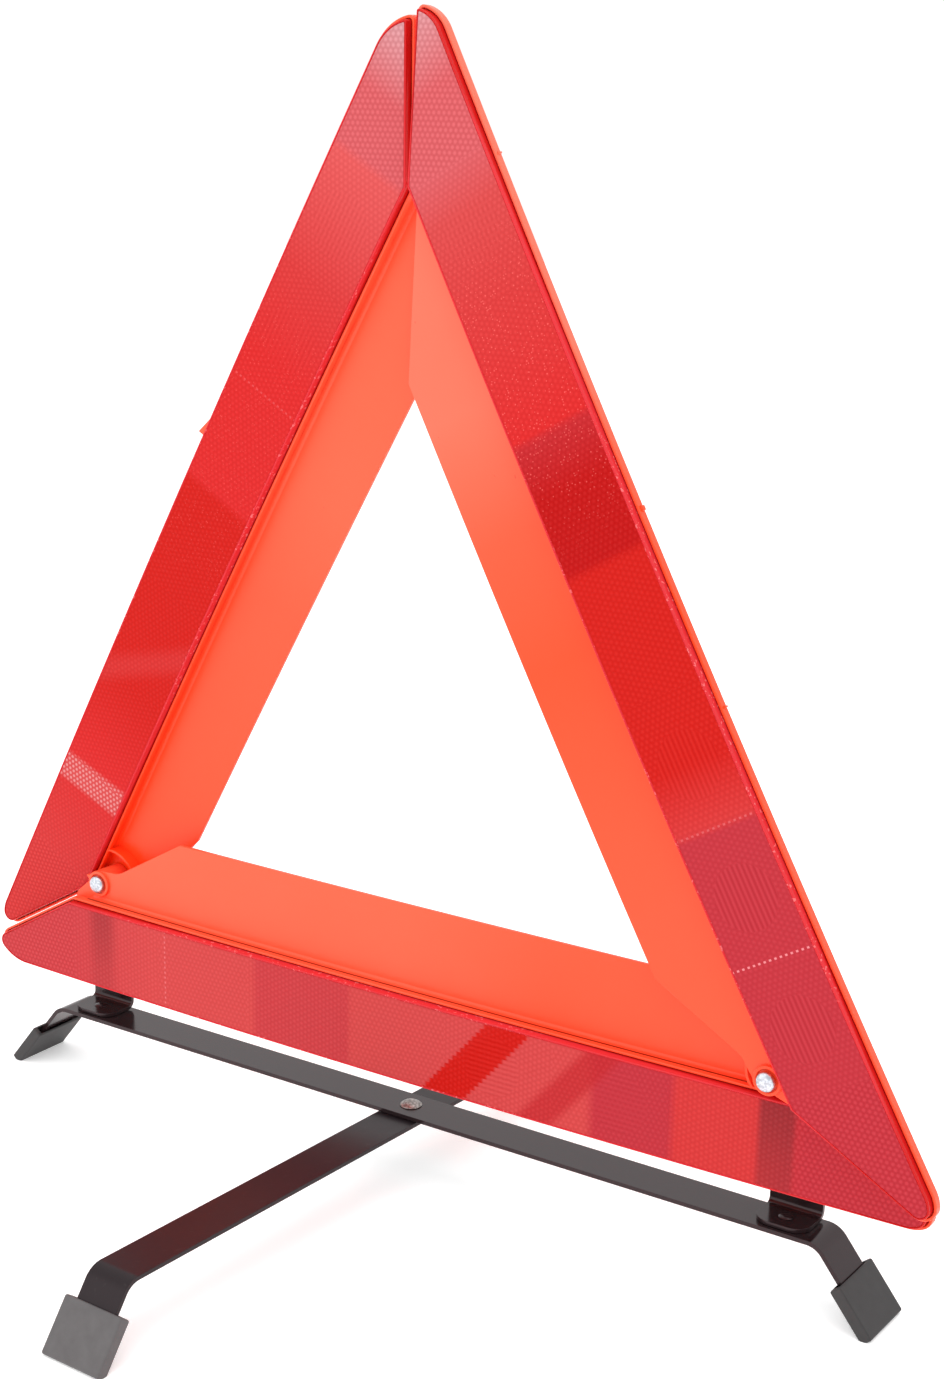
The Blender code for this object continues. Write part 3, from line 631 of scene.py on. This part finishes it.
def panel_end(kind, arm):
    v_in, v_out = OPENING_LINE, RIM_LINE + 0.5
    if kind == "apex":
        return [(ROOT3 * v - 2.0 * APEX_GAP, v) for v in (v_in, v_out)]
    if kind == "lug":
        neck = [(PIVOT_U + du, PIVOT_V + dv) for du, dv in LUG_NECK]
        tip = around(PIVOT_U, PIVOT_V, BOSS_R, -95.0, -6.0, 14)
        corner = [(ROOT3 * RIM_LINE + 0.8, v_out - 1.6), (ROOT3 * RIM_LINE + 2.0, v_out + 0.9),
                  (PIVOT_U - 2.0, v_out + 0.9), (PIVOT_U - 4.0, v_out)]
        return [(ROOT3 * v_in, v_in)] + neck + tip + corner
    radius = RIB_R["left" if arm == "left" else "right"] + 1.0
    tip = around(PIVOT_U, PIVOT_V, radius, -60.0, 25.0, 20)
    start = [(ROOT3 * v_in + 1.5, v_in), (ROOT3 * v_in + 9.0, v_in + 2.0)]
    return start + tip + [(PIVOT_U + 7.4, v_out)]


def grown(end, amount):
    return (end[0] + amount, *end[1:])


# --- the arms --------------------------------------------------------------------------------
def rim(shape, low, high):
    """Raised rim round the reflector: rounded top, open tray inside."""
    r = RIM_ROUND
    steps = [(0.0, 0.0, 0.0, TRAY_BACK), (0.0, 0.0, 0.0, RIM_FRONT - r)]
    for k in (1, 2, 3):
        a = math.radians(30.0 * k)
        lift = r * (1.0 - math.cos(a))
        steps.append((lift, lift, lift, RIM_FRONT - r + r * math.sin(a)))
    for k in (3, 2, 1, 0):
        a = math.radians(30.0 * k)
        lift = r * (1.0 - math.cos(a))
        steps.append((INNER_WALL - lift, OUTER_WALL - lift, INNER_WALL - lift,
                      RIM_FRONT - r + r * math.sin(a)))
    steps.append((INNER_WALL, OUTER_WALL, INNER_WALL, TRAY_FLOOR))
    shape.loft([(band_loop(i, o, grown(low, e), grown(high, e)), -f) for i, o, e, f in steps])


def inner_wall(shape, arm, low_kind, high_kind, low, high):
    """Wall that carries the tray off the panel along the opening side."""
    reach = []
    for kind, end in ((low_kind, low), (high_kind, high)):
        mitre = ROOT3 * RIM_LINE - 2.0 * end[0] - 1.0
        reach.append({"apex": mitre, "lug": PIVOT_U + 4.6, "rib": PIVOT_U + 9.6}[kind])
    loop = [(-reach[0], RIM_LINE), (reach[1], RIM_LINE), (reach[1], RIM_LINE + INNER_WALL),
            (-reach[0], RIM_LINE + INNER_WALL)]
    shape.slab(loop, TRAY_BACK + 0.8, PANEL_T[arm] - 0.2, 0.05)
    fillet = 0.9
    root = [(-reach[0] + 1.0, RIM_LINE - fillet), (reach[1] - 1.0, RIM_LINE - fillet),
            (reach[1] - 1.0, RIM_LINE + 0.2), (-reach[0] + 1.0, RIM_LINE + 0.2)]
    foot = [(-reach[0] + 1.0, RIM_LINE - 0.3), (reach[1] - 1.0, RIM_LINE - 0.3),
            (reach[1] - 1.0, RIM_LINE + 0.2), (-reach[0] + 1.0, RIM_LINE + 0.2)]
    top = [(p[0], max(p[1], RIM_LINE - 0.02)) for p in foot]
    shape.loft([(root, 0.3), (root, -0.02), (foot, -0.3), (top, -fillet), (top, -fillet - 0.1)])


def arc_rib(shape, side, radius):
    """Curved rib round a pivot, from the rim's foot round the panel's end."""
    top = math.degrees(math.asin((RIM_LINE + 0.3 - PIVOT_V) / radius))
    outer = around(PIVOT_U, PIVOT_V, radius + RIB_T, 180.0 - top, 360.0 + top, 72)
    inner = around(PIVOT_U, PIVOT_V, radius, 180.0 - top, 360.0 + top, 72)
    loop = [(side * u, v) for u, v in outer + list(reversed(inner))]
    shape.slab(loop, RIM_FRONT - 0.1, 0.5, 0.25)


def boss(shape, side, low_b, high_b, rim_round=0.35):
    """Round boss about a pivot, its front edge rounded and dished for the rivet head."""
    r = BOSS_R
    profile = [(0.0, high_b), (r, high_b), (r, low_b + rim_round)]
    for k in (1, 2, 3):
        a = math.radians(30.0 * k)
        profile.append((r - rim_round * (1.0 - math.cos(a)), low_b + rim_round - rim_round * math.sin(a)))
    profile += [(HEAD_R + 0.85, low_b), (HEAD_R + 0.55, low_b + 0.3), (HEAD_R + 0.5, low_b + 1.0),
                (0.0, low_b + 1.0)]
    shape.turned(profile, (side * PIVOT_U, PIVOT_V))


def make_frame(arm, low_kind, high_kind, low, high):
    shape = Shape()
    ends = {kind: panel_end(kind, arm) for kind in (low_kind, high_kind)}
    outline = ends[high_kind] + [(-u, v) for u, v in reversed(ends[low_kind])]
    shape.slab(outline, 0.0, PANEL_T[arm], 0.22)
    rim(shape, low, high)
    inner_wall(shape, arm, low_kind, high_kind, low, high)
    return shape


def make_lens(arm, low, high, body):
    fit_in, fit_out = INNER_WALL + FIT_GAP, OUTER_WALL + FIT_GAP
    steps = [(0.0, 0.0, LENS_BACK, 1), (0.0, 0.0, RIM_FRONT - 0.2, 1), (0.05, 0.03, RIM_FRONT, 1),
             (0.18, 0.13, LENS_FRONT - 0.42, 1), (0.26, 0.2, LENS_FRONT - 0.16, 1),
             (0.36, 0.3, LENS_FRONT - 0.03, 1), (0.5, 0.42, LENS_FRONT, 1),
             (0.75, 0.65, LENS_FRONT, 1), (0.83, 0.72, LENS_FRONT - 0.1, 1),
             (0.88, 0.77, LENS_FRONT - 0.28, 1), (0.98, 0.86, LENS_FRONT - 0.28, 1),
             (1.08, 0.95, LENS_FRONT - 0.12, 0)]
    rings, bands = [], []
    for inner, outer, front, index in steps:
        loop = band_loop(fit_in + inner, fit_out + outer, grown(low, fit_in + outer),
                         grown(high, fit_in + outer))
        rings.append((loop, -front))
        bands.append(index)
    shape = Shape()
    shape.loft(rings, bands)
    shape.bend(BOW[arm])
    name = arm + "_reflector"
    lens = shape.finish(name + "_lens", arm_matrix(arm), [PRISMS[arm], SIDES], body, "red_reflector")
    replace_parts(lens, name)


LOWER = (MITRE_GAP, LOWER_CORNER_R, LOWER_TIP_R)
BOTTOM_LEFT = (MITRE_GAP, BOTTOM_LEFT_R, LOWER_TIP_R)
RIGHT_APEX = (APEX_GAP, APEX_RIGHT_R, APEX_TIP_R)
LEFT_APEX = (APEX_GAP, APEX_LEFT_R, APEX_TIP_R)

bottom = make_frame("bottom", "lug", "rib", BOTTOM_LEFT, LOWER)
arc_rib(bottom, 1.0, RIB_R["right"])
boss(bottom, -1.0, -RING_H, LEFT_OFFSET - BOSS_GAP)
boss(bottom, 1.0, -RIGHT_OFFSET + PANEL_T["right"] + BOSS_GAP, PANEL_T["bottom"])
spur = [(-PIVOT_U - 4.4, PIVOT_V - 0.4), (-PIVOT_U - 6.4, PIVOT_V - 2.7), (-PIVOT_U - 4.2, PIVOT_V - 3.0)]
bottom.slab(spur, RING_H - 0.1, 0.4, 0.2)
bottom.bend(BOW["bottom"])
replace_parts(bottom.finish("bottom_frame_moulding", arm_matrix("bottom"), [ORANGE["bottom"]], "base",
                          "orange_plastic"), "bottom_frame")
make_lens("bottom", BOTTOM_LEFT, LOWER, "base")

right = make_frame("right", "lug", "apex", LOWER, RIGHT_APEX)
boss(right, -1.0, -RING_H, PANEL_T["right"])
for centre_u, half in NUBS:
    tab = [(centre_u - half, OUTER_LINE - EDGE_ROOT), (centre_u + half, OUTER_LINE - EDGE_ROOT),
           (centre_u + half - 0.6, OUTER_LINE + NUB_H), (centre_u - half + 0.6, OUTER_LINE + NUB_H)]
    right.slab(tab, TRAY_BACK + 1.9, -TRAY_BACK - 0.4, 0.2)
right.bend(BOW["right"])
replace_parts(right.finish("right_frame_moulding", arm_matrix("right"), [ORANGE["right"]], "right_arm",
                         "orange_plastic"), "right_frame")
make_lens("right", LOWER, RIGHT_APEX, "right_arm")

left = make_frame("left", "apex", "rib", LEFT_APEX, LOWER)
arc_rib(left, 1.0, RIB_R["left"])
hook = [(HOOK_START, OUTER_LINE - EDGE_ROOT), (HOOK_END, OUTER_LINE - EDGE_ROOT),
        (HOOK_END, OUTER_LINE + HOOK_H)]
left.slab(hook, TRAY_BACK + 2.3, -TRAY_BACK - 0.3, 0.25)
left.bend(BOW["left"])
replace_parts(left.finish("left_frame_moulding", arm_matrix("left"), [ORANGE["left"]], "left_arm",
                        "orange_plastic"), "left_frame")
make_lens("left", LEFT_APEX, LOWER, "left_arm")


# --- pieces that start from their CAD solids ---------------------------------------------------
def refine(node, edge, material, body, segments=3, smooth=40.0):
    """A CAD solid with its flat faces joined up and its edges rounded."""
    part = bmesh.new()
    part.from_mesh(frame["nodes"][node].data)
    bmesh.ops.remove_doubles(part, verts=part.verts, dist=0.002 * MM)
    bmesh.ops.dissolve_limit(part, angle_limit=math.radians(0.5), verts=part.verts, edges=part.edges)
    sharp = [e for e in part.edges if e.is_manifold and e.calc_face_angle(0.0) > math.radians(30.0)]
    bmesh.ops.bevel(part, geom=sharp, offset=edge * MM, segments=segments, profile=0.5,
                    affect="EDGES", clamp_overlap=True)
    data = bpy.data.meshes.new(node + "_fine")
    part.to_mesh(data)
    part.free()
    piece = show(node + "_fine", data, Matrix.Identity(4), [material], body, smooth)
    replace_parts(piece, node)


refine("cross_leg", 0.22, BLACK, "base")
refine("swing_leg", 0.22, SWING, "lower_leg")
for node in ("left_bracket", "right_bracket"):
    refine(node, 0.2, BLACK, "base")
for node, body in (("left_foot", "base"), ("right_foot", "base"), ("front_foot", "lower_leg"),
                   ("rear_foot", "lower_leg")):
    refine(node, 0.3, RUBBER if body == "base" else RUBBER_PALER, body)
for node in ("left_pivot_rivet", "right_pivot_rivet", "left_pivot_washer", "right_pivot_washer",
             "left_frame_rivet", "right_frame_rivet"):
    refine(node, 0.12, ZINC, "base", 2)
for node in ("leg_rivet", "leg_washer"):
    refine(node, 0.12, DARK, "base", 2)
for node in ("left_leg_rivet", "right_leg_rivet"):
    refine(node, 0.1, BLACK, "base", 2)


# --- stage -----------------------------------------------------------------------------------------
def floor():
    data = bpy.data.meshes.new("floor")
    half = 4.0
    data.from_pydata([(-half, -half, 0.0), (half, -half, 0.0), (half, half, 0.0), (-half, half, 0.0)],
                     [], [(0, 1, 2, 3)])
    ground = bpy.data.objects.new("floor", data)
    bpy.context.scene.collection.objects.link(ground)
    g = Graph("floor_look")
    data.materials.append(g.done(Base_Color=(0.96, 0.96, 0.96, 1.0), Roughness=0.9,
                                 Emission_Color=(1.0, 1.0, 1.0, 1.0), Emission_Strength=0.3))


def soft_light(name, place, size, power, target=(0.0, 0.0, 0.18)):
    lamp = bpy.data.lights.new(name, "AREA")
    lamp.shape = "SQUARE"
    lamp.size = size
    lamp.energy = power
    ob = bpy.data.objects.new(name, lamp)
    bpy.context.scene.collection.objects.link(ob)
    ob.location = place
    ob.rotation_euler = (Vector(target) - Vector(place)).to_track_quat("-Z", "Y").to_euler()


def surroundings(strength):
    world = bpy.data.worlds.new("studio")
    bpy.context.scene.world = world
    world.use_nodes = True
    background = world.node_tree.nodes["Background"]
    background.inputs["Color"].default_value = (1.0, 1.0, 1.0, 1.0)
    background.inputs["Strength"].default_value = strength


def camera():
    """Seen from the right and above; the shift lifts the picture as the framing needs."""
    yaw, pitch, roll = (math.radians(a) for a in (33.48, 17.47, 1.25))
    look = Vector((-math.sin(yaw) * math.cos(pitch), math.cos(yaw) * math.cos(pitch), -math.sin(pitch)))
    side = Vector((math.cos(yaw), math.sin(yaw), 0.0))
    up = side.cross(look)
    right = side * math.cos(roll) + up * math.sin(roll)
    top = up * math.cos(roll) - side * math.sin(roll)
    turn = Matrix((right, top, -look)).transposed().to_4x4()
    lens = bpy.data.cameras.new("camera")
    lens.lens = 59.6
    lens.sensor_width = 36.0
    lens.sensor_fit = "AUTO"
    lens.shift_x = -0.0013
    lens.shift_y = 0.0838
    lens.clip_start = 0.01
    ob = bpy.data.objects.new("camera", lens)
    bpy.context.scene.collection.objects.link(ob)
    ob.matrix_world = Matrix.Translation((0.4483, -0.6397, 0.3916)) @ turn
    bpy.context.scene.camera = ob


floor()
surroundings(1.05)
soft_light("overhead", (0.3, -0.4, 1.7), 1.6, 12.0)
soft_light("front_fill", (-0.9, -1.5, 0.9), 1.4, 5.0)
bpy.context.scene.view_settings.view_transform = "Standard"
camera()
